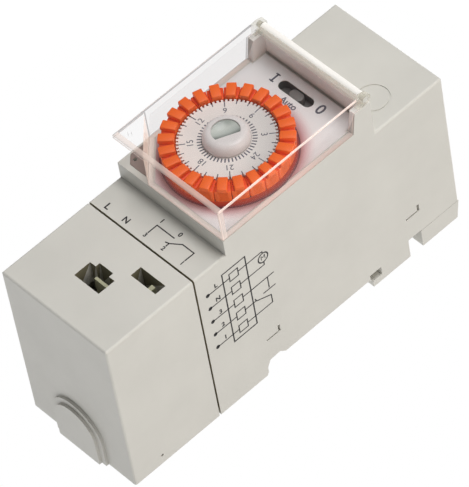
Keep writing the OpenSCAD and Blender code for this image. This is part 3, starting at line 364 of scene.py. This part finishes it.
# Painted orange reflection and painted shade on the deck at the dial's foot
tinted(LABEL, from_dial, ORANGE_REFLECTION_STOPS)
# Painted glow on the hinge wall, stronger higher up
lit_above(WALL_PAINTED_LIGHT, GLOW_COLOUR, GLOW_LOW_Z, GLOW_HIGH_Z, GLOW_STRENGTH)

SLOT_MATERIALS = {
    "body_plastic": BODY, "clear_plastic": CLEAR, "pale_plastic": PALE, "orange_plastic": ORANGE,
    "white_plastic": WHITE, "grey_plastic": GREY_WITH_DISH_SHADE, "dark_plastic": DARK, "red_plastic": RED,
    "brass": BRASS, "steel": STEEL, "copper": COPPER,
}
NODE_SLOTS = {s["node"]: s["material_slot"] for s in frame["record"]["subparts"]}
for node, obj in NODES.items():
    obj.data.materials.clear()
    obj.data.materials.append(SLOT_MATERIALS[NODE_SLOTS[node]])
NODES["hour_disc"].data.materials[0] = DISC


# Geometry helpers

def link(name, data, materials=()):
    """New object in the scene, with its materials."""
    obj = bpy.data.objects.new(name, data)
    bpy.context.scene.collection.objects.link(obj)
    for material in materials:
        data.materials.append(material)
    return obj


def shade(mesh):
    """Smooth shading that keeps sharp edges."""
    mesh.polygons.foreach_set("use_smooth", [True] * len(mesh.polygons))
    mesh.set_sharp_from_angle(angle=SHARP_ANGLE)


def baked(obj):
    """Replaces an object's mesh by what its modifiers make of it, without edges of no length."""
    graph = bpy.context.evaluated_depsgraph_get()
    mesh = bpy.data.meshes.new_from_object(obj.evaluated_get(graph))
    obj.modifiers.clear()
    obj.data = mesh
    bm = bmesh.new()
    bm.from_mesh(mesh)
    bmesh.ops.dissolve_degenerate(bm, dist=SHORTEST, edges=bm.edges)
    bm.to_mesh(mesh)
    bm.free()


def softened(node, rounding, materials, edge_index=-1, weigh=None):
    """Copy of a CAD node that stands for it, with sharp outward edges rounded, all alike or as weighed."""
    mesh = NODES[node].data.copy()
    mesh.materials.clear()
    obj = link(node + "_soft", mesh, materials)
    bm = bmesh.new()
    bm.from_mesh(mesh)
    bmesh.ops.remove_doubles(bm, verts=bm.verts, dist=WELD)
    bmesh.ops.dissolve_limit(bm, angle_limit=FLAT_ANGLE, verts=bm.verts, edges=bm.edges)
    weights = bm.edges.layers.float.new("bevel_weight_edge")
    for face in bm.faces:
        face.material_index = 0
    for edge in bm.edges:
        sharp = len(edge.link_faces) == 2 and edge.calc_face_angle_signed() > ROUNDED_ANGLE
        edge[weights] = 0.0 if not sharp else 1.0 if weigh is None else weigh(edge)
    bm.to_mesh(mesh)
    bm.free()
    width, segments = rounding
    bevel = obj.modifiers.new("round", "BEVEL")
    bevel.width = width * MM
    bevel.segments = segments
    bevel.limit_method = "WEIGHT"
    bevel.use_clamp_overlap = False
    bevel.material = edge_index
    baked(obj)
    shade(obj.data)
    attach(obj, NODES[node]["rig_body"])
    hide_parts(node)
    return obj


def cut_faces(mesh, point, normal):
    """Splits a mesh's faces along a plane, with its shape kept."""
    bm = bmesh.new()
    bm.from_mesh(mesh)
    everything = bm.verts[:] + bm.edges[:] + bm.faces[:]
    place = (Vector(point) + Vector((X_LEFT, 0, 0))) * MM
    bmesh.ops.bisect_plane(bm, geom=everything, plane_co=place, plane_no=normal)
    bm.to_mesh(mesh)
    bm.free()


def paint(node, material, low, high, upright):
    """Gives the faces whose middles lie in a box, or only the upright ones, a material of their own."""
    mesh = NODES[node].data
    if mesh.materials.find(material.name) < 0:
        mesh.materials.append(material)
    index = mesh.materials.find(material.name)
    for face in mesh.polygons:
        place = face.center / MM - Vector((X_LEFT, 0, 0))
        inside = all(a < c < b for a, c, b in zip(low, place, high))
        if inside and (abs(face.normal.z) < FACING or not upright):
            face.material_index = index


class Plane:
    """Flat place for printing: a point, the reading direction and the way up, in millimetres."""

    def __init__(self, origin, reading, up):
        self.origin = Vector(origin) + Vector((X_LEFT, 0, 0))
        self.reading = Vector(reading)
        self.up = Vector(up)
        self.normal = self.reading.cross(self.up)

    def point(self, a, b, h):
        """Place in metres, from steps along the reading direction, up and out of the surface."""
        return (self.origin + self.reading * a + self.up * b + self.normal * h) * MM


def top_plane(z):
    """Upper face with u and y as its directions."""
    return Plane((0, 0, z), (1, 0, 0), (0, 1, 0))


def top_text_plane(u, y, z):
    """Writing on an upper face: it reads across the case and its tops point away from the cap."""
    return Plane((u, y, z), (0, -1, 0), (1, 0, 0))


def side_plane(u, z):
    """Place on the near side."""
    return Plane((u, SIDE_Y, z), (1, 0, 0), (0, 0, 1))


def dial_plane(angle, radius):
    """Place on the hour disc, with the tops of letters outward."""
    c, s = math.cos(math.radians(angle)), math.sin(math.radians(angle))
    return Plane((DIAL_U + radius * c, radius * s, DISC_Z), (s, -c, 0), (c, s, 0))


def arc(u, y, radius, start, stop, steps):
    """Points on an arc, with its angles in degrees."""
    turns = [math.radians(start + (stop - start) * i / steps) for i in range(steps + 1)]
    return [(u + radius * math.cos(t), y + radius * math.sin(t)) for t in turns]


def circle(centre, radius, steps):
    """Points on a circle."""
    return arc(*centre, radius, 0, 360 - 360 / steps, steps - 1)


def add_strip(bm, plane, left, right, closed, low=PRINT_LOW, high=PRINT_HIGH):
    """Thin solid between two rows of points, which is a ring where it is closed."""
    edges = ((left, low), (right, low), (right, high), (left, high))
    rows = [[bm.verts.new(plane.point(a, b, h)) for a, b in row] for row, h in edges]
    count = len(left)
    for near, far in zip(rows, rows[1:] + rows[:1]):
        for i in range(count if closed else count - 1):
            k = (i + 1) % count
            bm.faces.new([near[i], near[k], far[k], far[i]])
    if not closed:
        bm.faces.new([row[0] for row in rows])
        bm.faces.new([row[-1] for row in reversed(rows)])


def add_line(bm, plane, points, width):
    """Printed line with mitred corners and square ends, or a closed one where it ends at its start."""
    closed = points[0] == points[-1]
    places = [Vector(p) for p in (points[:-1] if closed else points)]
    runs = [(Vector(q) - Vector(p)).normalized() for p, q in zip(points, points[1:])]
    if not closed:
        places[0] -= runs[0] * width / 2
        places[-1] += runs[-1] * width / 2
    left, right = [], []
    for i, place in enumerate(places):
        before = runs[i - 1] if closed or i > 0 else runs[0]
        after = runs[i] if i < len(runs) else runs[-1]
        mitre = Vector((-before.y - after.y, before.x + after.x)) * width / 2 / (1 + before.dot(after))
        left.append(place + mitre)
        right.append(place - mitre)
    add_strip(bm, plane, left, right, closed)


def add_ring(bm, plane, centre, inner, outer, steps=48, low=PRINT_LOW, high=PRINT_HIGH):
    """Thin ring between two radii."""
    add_strip(bm, plane, circle(centre, inner, steps), circle(centre, outer, steps), True, low, high)


def add_dot(bm, plane, centre, radius, steps=16):
    """Printed dot."""
    points = circle(centre, radius, steps)
    low = [bm.verts.new(plane.point(a, b, PRINT_LOW)) for a, b in points]
    high = [bm.verts.new(plane.point(a, b, PRINT_HIGH)) for a, b in points]
    bm.faces.new(high)
    bm.faces.new(list(reversed(low)))
    for i in range(steps):
        k = (i + 1) % steps
        bm.faces.new([low[i], low[k], high[k], high[i]])


def add_text(bm, plane, text, height, weight=0.0):
    """Centred writing with capitals of the given height, made bolder by a weight."""
    curve = bpy.data.curves.new("writing", "FONT")
    curve.body = text
    curve.align_x = "CENTER"
    curve.align_y = "CENTER"
    curve.size = height / CAPITAL_SHARE
    curve.extrude = (PRINT_HIGH - PRINT_LOW) / 2
    curve.offset = weight
    curve.resolution_u = 4
    obj = link("writing", curve)
    graph = bpy.context.evaluated_depsgraph_get()
    mesh = bpy.data.meshes.new_from_object(obj.evaluated_get(graph))
    middle = (PRINT_HIGH + PRINT_LOW) / 2
    verts = [bm.verts.new(plane.point(v.co.x, v.co.y, middle + v.co.z)) for v in mesh.vertices]
    for face in mesh.polygons:
        corners = [verts[i] for i in face.vertices]
        if len(set(corners)) > 2 and bm.faces.get(corners) is None:
            bm.faces.new(corners)
    bpy.data.objects.remove(obj)
    bpy.data.meshes.remove(mesh)
    bpy.data.curves.remove(curve)


def print_piece(name, body, draw, ink=INK):
    """One mesh of printing that rides on a body."""
    bm = bmesh.new()
    draw(bm)
    bmesh.ops.recalc_face_normals(bm, faces=bm.faces)
    mesh = bpy.data.meshes.new(name)
    bm.to_mesh(mesh)
    bm.free()
    obj = link(name, mesh, [ink])
    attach(obj, body)


def thin_plate(name, outlines, material):
    """Thin plate on the deck inside the first outline, open inside the others."""
    curve = bpy.data.curves.new(name, "CURVE")
    curve.dimensions = "2D"
    curve.fill_mode = "BOTH"
    curve.extrude = LABEL_T / 2 * MM
    for points in outlines:
        spline = curve.splines.new("POLY")
        spline.points.add(len(points) - 1)
        for point, (u, y) in zip(spline.points, points):
            point.co = ((u + X_LEFT) * MM, y * MM, 0, 1)
        spline.use_cyclic_u = True
    obj = link(name, curve, [material])
    obj.location = (0, 0, (DECK_Z + LABEL_T / 2) * MM)
    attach(obj, "case")


# Softened copies of the moulded pieces

def at_seal(place):
    """Whether a place in millimetres lies at the rim of the seal hole."""
    return math.hypot(place.x - X_LEFT - SEAL_U, place.y - SEAL_Y) < SEAL_RIM


def cover_edge(edge):
    """Wide rounding on the cover's top, less at its outer corners, little along its foot."""
    a, b = edge.verts[0].co / MM, edge.verts[1].co / MM
    middle = (a + b) / 2
    if at_seal(middle):
        return 0.0
    outward = middle - COVER_MIDDLE
    walls = [f.normal.dot(outward) > 0 for f in edge.link_faces if abs(f.normal.z) < FACING]
    if min(a.z, b.z) > COVER_TOP_Z:
        return TOP_WEIGHT
    if (a - b).length < SHORT_EDGE or not all(walls):
        return 0.0
    return CORNER_WEIGHT if abs(a.z - b.z) > TALL_EDGE else FOOT_WEIGHT


def cover_look(face):
    """The material of one of the cover's faces, told by its place and by the way it faces; most carry
    painted highlights, painted shade or a painted glow.
    """
    n = face.normal
    u, y, z = face.center.x / MM - X_LEFT, face.center.y / MM, face.center.z / MM
    if u > EAR_U:
        return EAR
    if at_seal(face.center / MM):
        return CLEAR
    if COVER_LOOKS[face.material_index] == CLEAR_EDGE_HIGHLIGHT:
        if n.y > LEANING:
            return FAR_EDGE_SHADE
        return FRONT_EDGE_HIGHLIGHT if n.x < -LEANING and n.z > LEANING else CLEAR_EDGE_HIGHLIGHT
    if u < FRONT_U and (n.z > FACING or n.y < -FACING):
        return FRONT_EDGE_HIGHLIGHT
    if n.z > FACING and y > FAR_Y:
        return FAR_EDGE_SHADE
    if abs(n.z) > FACING:
        return FOOT_PAINTED_LIGHT if n.z < 0 and z < FOOT_Z else CLEAR
    if abs(n.x * n.y) > SLANTED:
        return CORNER_HIGHLIGHT
    return CLEAR_FAR_SHADED if n.y > FACING and y > 0 else CLEAR_WALL_LIT


for node in TAPPETS:
    tappet = softened(node, TAPPET_ROUND, [ORANGE, ORANGE_VALLEY_SHADE])
    # Painted shade: the level faces down in the valleys between the ridges take the deeper orange
    for face in tappet.data.polygons:
        if face.normal.z > LEVEL and face.center.z < VALLEY_Z * MM:
            face.material_index = 1
cover = softened("clear_cover", COVER_ROUND, COVER_LOOKS, COVER_LOOKS.index(CLEAR_EDGE_HIGHLIGHT), cover_edge)
cut_faces(cover.data, (FRONT_U, 0, 0), (1, 0, 0))
cut_faces(cover.data, (EAR_U, 0, 0), (1, 0, 0))
cut_faces(cover.data, (0, FAR_Y, 0), (0, 1, 0))
for face in cover.data.polygons:
    face.material_index = COVER_LOOKS.index(cover_look(face))
softened("override_slider", SLIDER_ROUND, [SLIDER])
softened("rail_clip", CLIP_ROUND, [DARK])
softened("knob_insert", INSERT_ROUND, [GREY_WITH_DISH_SHADE])


# Faces of the CAD nodes given painted light or painted shade: the slot's walls, the hinge wall and its
# cheeks, the seam and the cap's windows

# Node, material, low and high corner of a box in u, y and z, and whether its upright faces alone
PAINTED = (
    ("housing", SLOT_SHADE, (77, -5, 50), (82, 8, 55.95), True),
    ("housing", WALL_PAINTED_LIGHT, (83.5, -17.5, 56.5), (86.2, 17.5, 66), False),
    ("housing", WALL_PAINTED_LIGHT, (78.5, -17.3, 56.3), (84, -15.5, 66), False),
    ("housing", WALL_PAINTED_LIGHT, (78.5, 15.5, 56.3), (84, 17.3, 66), False),
    ("housing", SEAM, (27.7, -18, 5), (27.8, 18, 50.9), True),
    ("terminal_cap", SEAM, (27.2, -18, 5), (27.3, 18, 50.9), True),
    ("terminal_cap", SHADE, (1, -17, 48.5), (26, 17, 50.95), True),
)
for row in PAINTED:
    paint(*row)


# Printing on the dial

HOUR_STEP, FIRST_HOUR = 15.0, 6
HOUR_R, HOUR_HEIGHT = 8.6, 1.6
COMB_INNER, COMB_OUTER, COMB_WIDTH = 6.1, 6.95, 0.33
LONG_TICK, SHORT_TICK, TICK_OUTER, TICK_WIDTH = 9.9, 10.7, 11.3, 0.24


def draw_hours(bm):
    """Every third hour, and the comb of lines around the knob."""
    for hour in range(3, 25, 3):
        angle = DIAL_ANGLE + HOUR_STEP * (hour - FIRST_HOUR)
        add_text(bm, dial_plane(angle, HOUR_R), str(hour), HOUR_HEIGHT)
    for k in range(48):
        place = dial_plane(DIAL_ANGLE + HOUR_STEP / 2 * k, 0)
        add_line(bm, place, [(0, COMB_INNER), (0, COMB_OUTER)], COMB_WIDTH)


def draw_ticks(bm):
    """One line for each hour, longer at the numbers."""
    for k in range(24):
        place = dial_plane(DIAL_ANGLE + HOUR_STEP * k, 0)
        start = LONG_TICK if k % 3 == 0 else SHORT_TICK
        add_line(bm, place, [(0, start), (0, TICK_OUTER)], TICK_WIDTH)


print_piece("hour_print", "dial", draw_hours, GREY_INK)
print_piece("tick_print", "dial", draw_ticks, GREY_INK)


# Thin plates and printing on the deck, with sheets of painted shade at the notch and in the dial's gap

LABEL_OUTLINE = [(39.4, -16.3), (79.2, -16.3), (79.2, -15.7), (83.5, -15.7), (83.5, 15.7), (79.2, 15.7),
                 (79.2, 16.3), (48.6, 16.3), (39.4, 6.7)]
SLOT_U, SLOT_FAR_Y, SLOT_NEAR_Y, SLOT_R = 79.6, 5.2, -2.8, 1.55
SLOT_OUTLINE = arc(SLOT_U, SLOT_FAR_Y, SLOT_R, 0, 180, 24) + arc(SLOT_U, SLOT_NEAR_Y, SLOT_R, 180, 360, 24)
NOTCH_OUTLINE = [(39.3, 9.5), (46.3, 16.8), (46.3, 17.4), (41.4, 17.4), (39.3, 15.3)]
STEM, STEM_WIDTH, SERIF, SERIF_WIDTH = 1.2, 0.5, 0.5, 0.36


def draw_gap(bm):
    """Ring of painted shade and painted glow in the gap between the dial and the deck."""
    add_ring(bm, top_plane(DECK_Z), (DIAL_U, 0), GAP_INNER, GAP_OUTER, 96, 0, LABEL_T + GAP_RISE)


def draw_deck(bm):
    """Names of the slider's three places."""
    z = DECK_Z + LABEL_T
    place = top_text_plane(79.8, 8.6, z)
    add_line(bm, place, [(0, -STEM), (0, STEM)], STEM_WIDTH)
    for b in (-STEM, STEM):
        add_line(bm, place, [(-SERIF, b), (SERIF, b)], SERIF_WIDTH)
    add_text(bm, top_text_plane(79.9, -6.7, z), "0", 3.0, 0.08)
    add_text(bm, top_text_plane(76.3, 0.4, z), "Auto", 1.8, 0.06)


dial_hole = circle((DIAL_U, 0), LABEL_HOLE_R, 90)
seal_hole = circle((SEAL_U, SEAL_Y), SEAL_R, 24)
thin_plate("deck_label", [LABEL_OUTLINE, dial_hole, SLOT_OUTLINE], LABEL)
# Sheet of painted shade under the cover's corner, open at the seal hole
thin_plate("notch_shade_sheet", [NOTCH_OUTLINE, seal_hole], NOTCH_SHADE)
print_piece("dial_gap_shade_and_glow", "case", draw_gap, GAP_SHADE_AND_GLOW)
print_piece("deck_print", "case", draw_deck, GREY_INK)


# Terminal marks and contact sign on the strip beside the cap

# Letter, distance from the far side and height
TERMINAL_MARKS = (("L", 4.5, 1.9), ("N", 10.8, 1.7), ("3", 17.4, 1.2), ("2", 23.5, 1.2), ("1", 30.0, 1.2))
CONTACT_MARKS = (("1", 17.4, 1.3), ("0", 23.6, 1.3))


def draw_strip(bm):
    """Terminal marks in a row, a second row of marks, and the contact between them."""
    for u, marks in ((29.6, TERMINAL_MARKS), (35.0, CONTACT_MARKS)):
        for text, v, height in marks:
            add_text(bm, top_text_plane(u, FAR_SIDE_Y - v, SHOULDER_Z), text, height, STRIP_WEIGHT)
    place = top_plane(SHOULDER_Z)
    add_line(bm, place, [(30.6, 0.6), (33.4, 0.6), (33.4, -5.2)], THIN)
    add_line(bm, place, [(30.6, -5.5), (31.3, -5.5)], THIN)
    add_line(bm, place, [(31.3, -4.6), (31.6, -5.6), (33.4, -8.1), (33.4, -12.0), (30.6, -12.0)], THIN)


print_piece("strip_print", "case", draw_strip)


# Wiring diagram on the near side

ROWS = (42.7, 37.9, 33.0, 28.2, 23.4)
DOT_U, DOT_R, LETTER_U, LETTER_RISE = 30.7, 0.6, 33.4, 1.2
BOX_LEFT, BOX_RIGHT, BOX_HALF = 37.6, 40.3, 1.3
MOTOR_U, MOTOR_Z, MOTOR_R = 48.0, 40.5, 1.5


def frame_points(left, right, low, high):
    """Closed outline of an upright box."""
    return [(left, low), (right, low), (right, high), (left, high), (left, low)]


def draw_side(bm):
    """Five terminals in a frame, with the motor and the changeover contact."""
    side = side_plane(0, 0)
    row_l, row_n, row_3, row_2, row_1 = ROWS
    add_line(bm, side, frame_points(35.6, 42.9, 20.6, 45.7), BOLD)
    for text, w in zip("LN321", ROWS):
        add_line(bm, side, [(DOT_U, w), (BOX_LEFT, w)], THIN)
        add_dot(bm, side, (DOT_U, w), DOT_R)
        add_line(bm, side, frame_points(BOX_LEFT, BOX_RIGHT, w - BOX_HALF, w + BOX_HALF), THIN)
        add_text(bm, side_plane(LETTER_U, w + LETTER_RISE), text, 1.4, ROW_WEIGHT)
    for w, end in ((row_l, MOTOR_Z + MOTOR_R), (row_n, MOTOR_Z - MOTOR_R)):
        add_line(bm, side, [(BOX_RIGHT, w), (MOTOR_U, w), (MOTOR_U, end)], THIN)
    add_ring(bm, side, (MOTOR_U, MOTOR_Z), MOTOR_R - BOLD / 2, MOTOR_R + BOLD / 2)
    add_text(bm, side_plane(MOTOR_U, MOTOR_Z), "M", 1.5)
    add_line(bm, side, [(BOX_RIGHT, row_3), (50.1, row_3)], THIN)
    add_line(bm, side, [(48.2, row_3), (48.2, 29.2)], THIN)
    add_line(bm, side, [(46.4, 28.6), (50.0, 28.6)], THIN)
    add_line(bm, side, [(BOX_RIGHT, row_2), (43.6, row_2)], THIN)
    contact = [(43.6, 28.9), (44.0, 28.0), (48.4, 26.2)]
    add_line(bm, side, contact + [(48.4, row_1), (BOX_RIGHT, row_1)], THIN)


print_piece("side_print", "case", draw_side)


# Camera, floor and light

# Turn as axis times angle, and the case's near left foot as the camera sees it, in millimetres
CAMERA_TURN = Vector((2.26902860, -0.960361823, 0.182481718))
CAMERA_OFFSET = Vector((-23.1178848, 56.7990937, 1208.46013))
FOCAL_PIXELS, FRAME_PIXELS, SENSOR = 5151.35283, 487, 36.0
# Distance from the case's middle in metres, and the floor's glow there
FLOOR_NEAR, FLOOR_FAR = (0.1, 1.0), (0.16, 1.1)
FLOOR_SIZE = 6.0
# Name, place, target and size in metres, power and colour
LIGHTS = (
    ("key", (0.35, -1.3, 0.5), (0, 0, 0.03), 0.9, 7.7, (1.0, 0.93, 0.84)),
    ("top", (0.42, -0.1, 1.4), (0, 0, 0.03), 0.8, 15.7, (1, 1, 1)),
    ("fill", (-1.0, -0.3, 0.8), (0, 0, 0.05), 0.8, 1.4, (1, 1, 1)),
)
WORLD_COLOUR, WORLD_STRENGTH = (0.97, 0.985, 1, 1), 0.13


def set_camera():
    """Camera at the photograph's viewing angle."""
    rotation = Quaternion(CAMERA_TURN.normalized(), CAMERA_TURN.length).to_matrix()
    place = Vector((X_LEFT, SIDE_Y, 0)) - rotation.transposed() @ CAMERA_OFFSET
    axes = Matrix((rotation[0], -rotation[1], -rotation[2])).transposed()
    data = bpy.data.cameras.new("camera")
    data.sensor_fit = "AUTO"
    data.sensor_width = SENSOR
    data.lens = FOCAL_PIXELS / FRAME_PIXELS * SENSOR
    data.clip_end = 20.0
    camera = link("camera", data)
    camera.matrix_world = Matrix.Translation(place * MM) @ axes.to_4x4()
    bpy.context.scene.camera = camera


def add_floor():
    """White floor that shines brighter away from the object."""
    bm = bmesh.new()
    bmesh.ops.create_grid(bm, x_segments=1, y_segments=1, size=FLOOR_SIZE)
    mesh = bpy.data.meshes.new("floor")
    bm.to_mesh(mesh)
    bm.free()
    mat, tree, shader = new_material("floor")
    shader.inputs["Base Color"].default_value = (0, 0, 0, 1)
    shader.inputs["Specular IOR Level"].default_value = 0.0
    shader.inputs["Emission Color"].default_value = (1, 1, 1, 1)
    (near, near_glow), (far, far_glow) = FLOOR_NEAR, FLOOR_FAR
    glow = mapped(tree, distance(tree), near, far, near_glow, far_glow)
    tree.links.new(glow, shader.inputs["Emission Strength"])
    floor = link("floor", mesh, [mat])


def add_area(name, place, target, size, power, colour):
    """Square lamp that faces its target."""
    data = bpy.data.lights.new(name, "AREA")
    data.shape = "SQUARE"
    data.size = size
    data.energy = power
    data.color = colour
    light = link(name, data)
    light.location = place
    direction = Vector(target) - Vector(place)
    light.rotation_euler = direction.to_track_quat("-Z", "Y").to_euler()


set_camera()
add_floor()
for row in LIGHTS:
    add_area(*row)
world = bpy.data.worlds.new("studio")
bpy.context.scene.world = world
world.use_nodes = True
background = world.node_tree.nodes["Background"]
background.inputs["Color"].default_value = WORLD_COLOUR
background.inputs["Strength"].default_value = WORLD_STRENGTH
bpy.context.scene.view_settings.view_transform = "Standard"
